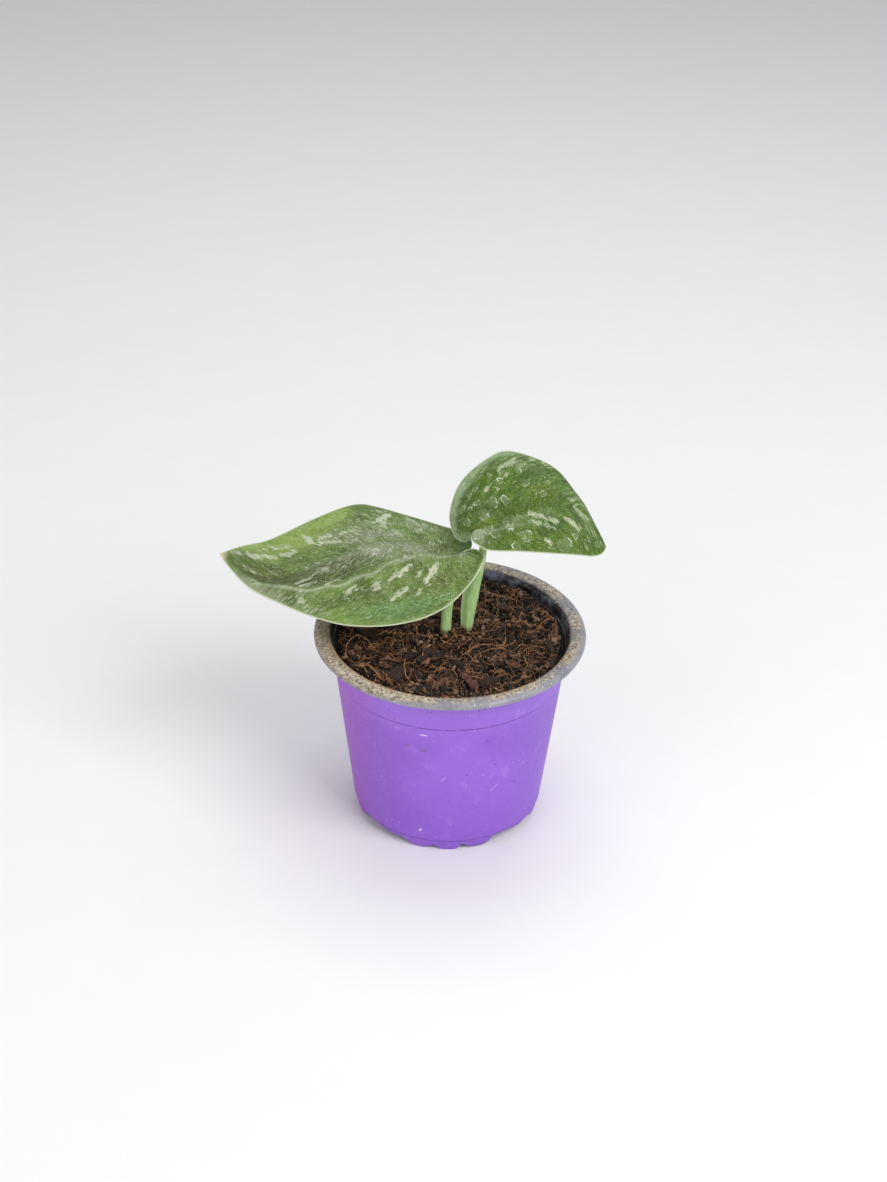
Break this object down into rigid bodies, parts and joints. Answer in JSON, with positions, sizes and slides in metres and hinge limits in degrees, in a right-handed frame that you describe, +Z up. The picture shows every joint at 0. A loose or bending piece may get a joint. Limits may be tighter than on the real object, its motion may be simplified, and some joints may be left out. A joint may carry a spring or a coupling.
{
  "type": "satin pothos in a nursery pot",
  "caption": "Young satin pothos with broad silver-flecked leaves on short petioles, rooted in coir soil in a round thin-walled nursery pot with a scalloped foot.",
  "frame": {"origin": "centre of the object's bounding box in plan, on the surface that the pot stands on; the pot's axis is 17 mm along +X from it", "axes": "+Z up, +X along the leaves from the large leaf's tip to the small leaf's tip, +Y away from the viewer"},
  "size_m": [0.1681, 0.12, 0.1619],
  "materials": {
    "pot_plastic": "satin, dusty black inside and on the lip",
    "soil": "loose and damp, coir fibre and bark",
    "roots": "matte",
    "petiole": "satin",
    "leaf": "satin, with silver flecks"
  },
  "bodies": {
    "root": {"pot": "pot_plastic", "soil": "soil", "rootstock": "roots", "petiole_large": "petiole", "petiole_small": "petiole", "leaf_large": "leaf", "leaf_small": "leaf"}
  },
  "joints": []
}
